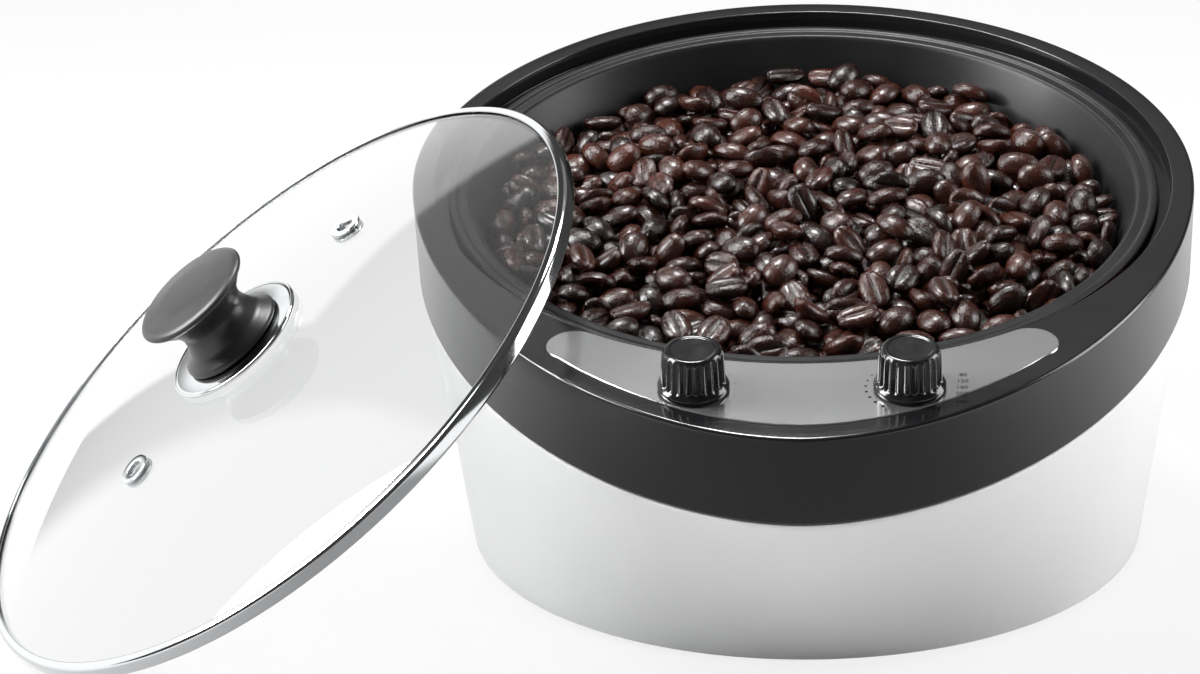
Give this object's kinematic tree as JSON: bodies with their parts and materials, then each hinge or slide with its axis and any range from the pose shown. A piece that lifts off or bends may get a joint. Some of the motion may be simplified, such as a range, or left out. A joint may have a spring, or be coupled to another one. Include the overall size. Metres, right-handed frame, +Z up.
{
  "type": "coffee bean roaster",
  "caption": "Countertop coffee bean roaster: tapered white base, sloped black collar with a knob panel, stirred pot of beans and a leaning glass lid.",
  "frame": {"origin": "centre of the base plate's flat underside, below the pot's axis", "axes": "+Z up from the table, -Y towards the user and the control panel, +X to the object's right seen from the front"},
  "size_m": [0.4359, 0.3342, 0.1649],
  "materials": {
    "shell_white": "smooth satin white plastic",
    "collar_black": "smooth black plastic with a soft sheen",
    "panel_silver": "glossy silver-grey plate",
    "plate_dark": "moulded dark plastic",
    "foot_rubber": "matt black rubber",
    "screw_steel": "zinc-plated steel",
    "pot_coating": "black non-stick coating on aluminium",
    "gasket_red": "red silicone",
    "shield_sheet": "bright sheet steel",
    "element_sheath": "heat-darkened steel sheath",
    "ceramic": "unglazed white ceramic",
    "copper_bulb": "dull copper",
    "case_metal": "die-cast metal",
    "motor_can": "plated motor can",
    "brass": "machined brass",
    "gear_nylon": "cream moulded nylon",
    "bronze": "sintered bronze",
    "arm_metal": "coated cast metal",
    "beans": "oily dark-roast bean skin",
    "control_case": "moulded cream plastic",
    "knob_black": "fluted black plastic",
    "wire_red": "silicone-covered wire",
    "gland_black": "black nylon",
    "lid_glass": "clear tempered glass",
    "rim_steel": "polished stainless steel",
    "lid_knob_black": "black heat-resistant plastic",
    "washer_grey": "grey silicone"
  },
  "bodies": {
    "housing": {"base_shell": "shell_white", "collar_ring": "collar_black", "control_panel": "panel_silver", "bottom_plate": "plate_dark", "plate_screws": "screw_steel", "rubber_feet": "foot_rubber", "foot_screws": "screw_steel", "collar_screws": "screw_steel", "roasting_pot": "pot_coating", "pot_gasket": "gasket_red", "heat_shield": "shield_sheet", "shield_screws": "screw_steel", "heater_ring": "element_sheath", "heater_clamps": "shield_sheet", "heater_bushes": "ceramic", "thermal_fuse": "ceramic", "sensor_bulb": "copper_bulb", "gear_case": "case_metal", "case_cover": "case_metal", "case_screws": "screw_steel", "motor": "motor_can", "shaft_bush": "bronze", "shaft_seal": "foot_rubber", "timer_body": "control_case", "thermostat_body": "control_case", "control_nuts": "screw_steel", "terminal_block": "control_case", "terminal_screws": "brass", "wiring": "wire_red", "cord_gland": "gland_black", "gland_nut": "gland_black"},
    "stirrer": {"output_gear": "gear_nylon", "drive_shaft": "screw_steel", "stir_arm": "arm_metal", "stir_nut": "screw_steel", "bean_charge": "beans"},
    "rotor": {"motor_pinion": "brass"},
    "timer": {"timer_spindle": "screw_steel", "timer_knob": "knob_black"},
    "heat": {"heat_spindle": "screw_steel", "heat_knob": "knob_black"},
    "lid": {"lid_glass": "lid_glass", "lid_rim": "rim_steel", "lid_knob": "lid_knob_black", "lid_knob_plate": "rim_steel", "lid_washer": "washer_grey", "lid_screw": "screw_steel", "lid_eyelets": "rim_steel"}
  },
  "joints": [
    {"name": "stirrer_spin", "type": "hinge", "parent": "housing", "child": "stirrer", "pos_m": [0, 0, 0.136], "axis": [0, -0.1908, 0.9816], "continuous": true},
    {"name": "rotor_spin", "type": "hinge", "parent": "housing", "child": "rotor", "pos_m": [0.028, 0.01813, 0.04274], "axis": [0, -0.1908, 0.9816], "continuous": true},
    {"name": "timer_turn", "type": "hinge", "parent": "housing", "child": "timer", "pos_m": [-0.035, -0.14577, 0.10766], "axis": [0, -0.1908, 0.9816], "range_deg": [-300, 0]},
    {"name": "heat_turn", "type": "hinge", "parent": "housing", "child": "heat", "pos_m": [0.035, -0.14577, 0.10766], "axis": [0, -0.1908, 0.9816], "range_deg": [-270, 0]},
    {"name": "lid_lift", "type": "slide", "parent": "housing", "child": "lid", "axis": [0, 0, 1], "range_m": [0, 0.18]}
  ],
  "couplings": [
    {"joint": "rotor_spin", "follows": "stirrer_spin", "ratio": -2.5}
  ]
}
